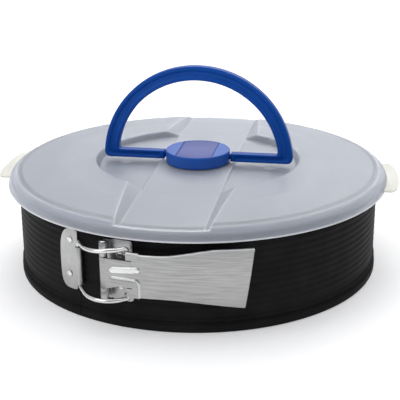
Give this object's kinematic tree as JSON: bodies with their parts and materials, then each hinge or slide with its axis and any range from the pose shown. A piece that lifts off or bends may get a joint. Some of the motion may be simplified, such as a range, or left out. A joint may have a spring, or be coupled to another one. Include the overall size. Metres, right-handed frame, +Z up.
{
  "type": "springform pan",
  "caption": "Round non-stick springform pan with a lift-out base, a wire and lever clamp on its side, and a milky carrying lid with a folding bow handle.",
  "frame": {"origin": "middle of the base plate's flat underside, on the surface that the pan stands on", "axes": "+Z up; +X along the pivot axis of the lid's handle; the latch faces -Y"},
  "size_m": [0.2906, 0.2797, 0.1435],
  "materials": {
    "nonstick_steel": "satin black non-stick coating",
    "latch_steel": "plated sheet with fine drawn lines",
    "rivet_steel": "smooth plated",
    "bright_wire": "bright drawn wire",
    "milky_plastic": "translucent milky polypropylene",
    "blue_plastic": "semi-gloss moulded",
    "blue_cap_plastic": "semi-gloss moulded"
  },
  "bodies": {
    "base": {"base_plate": "nonstick_steel"},
    "ring_left": {"ring_left_half": "nonstick_steel", "keeper_plate": "latch_steel", "keeper_rivet_upper": "rivet_steel", "keeper_rivet_lower": "rivet_steel"},
    "ring_right": {"ring_right_half": "nonstick_steel", "latch_bracket": "latch_steel", "bracket_rivet_upper": "rivet_steel", "bracket_rivet_lower": "rivet_steel", "hinge_pin": "rivet_steel"},
    "lever": {"latch_lever": "latch_steel"},
    "bail": {"wire_bail": "bright_wire"},
    "lid": {"lid": "milky_plastic", "hub_body": "blue_plastic", "hub_cap": "blue_cap_plastic", "hub_screw": "rivet_steel", "hub_retainer": "blue_plastic"},
    "handle": {"carry_handle": "blue_plastic"}
  },
  "joints": [
    {"name": "lever_hinge", "type": "hinge", "parent": "ring_right", "child": "lever", "pos_m": [-0.03691, -0.13131, 0.0393], "axis": [0, 0, -1], "range_deg": [0, 120]},
    {"name": "ring_right_spring", "type": "hinge", "parent": "base", "child": "ring_right", "pos_m": [0.05826, 0.11789, 0], "axis": [0, 0, 1], "range_deg": [0, 1.8]},
    {"name": "ring_left_spring", "type": "hinge", "parent": "base", "child": "ring_left", "pos_m": [0.05826, 0.11789, 0], "axis": [0, 0, -1], "range_deg": [0, 1.8]},
    {"name": "bail_hinge", "type": "hinge", "parent": "ring_left", "child": "bail", "pos_m": [-0.05625, -0.12008, 0.04], "axis": [0, 0, -1], "range_deg": [0, 27.7]},
    {"name": "lid_lift", "type": "slide", "parent": "base", "child": "lid", "axis": [0, 0, 1], "range_m": [0, 0.1]},
    {"name": "handle_fold", "type": "hinge", "parent": "lid", "child": "handle", "pos_m": [0, 0, 0.0773], "axis": [1, 0, 0], "range_deg": [-88, 88]}
  ],
  "couplings": [
    {"joint": "ring_right_spring", "follows": "lever_hinge", "ratio": 0.014964},
    {"joint": "ring_left_spring", "follows": "lever_hinge", "ratio": 0.014964},
    {"joint": "bail_hinge", "follows": "lever_hinge", "ratio": 0.23012}
  ]
}
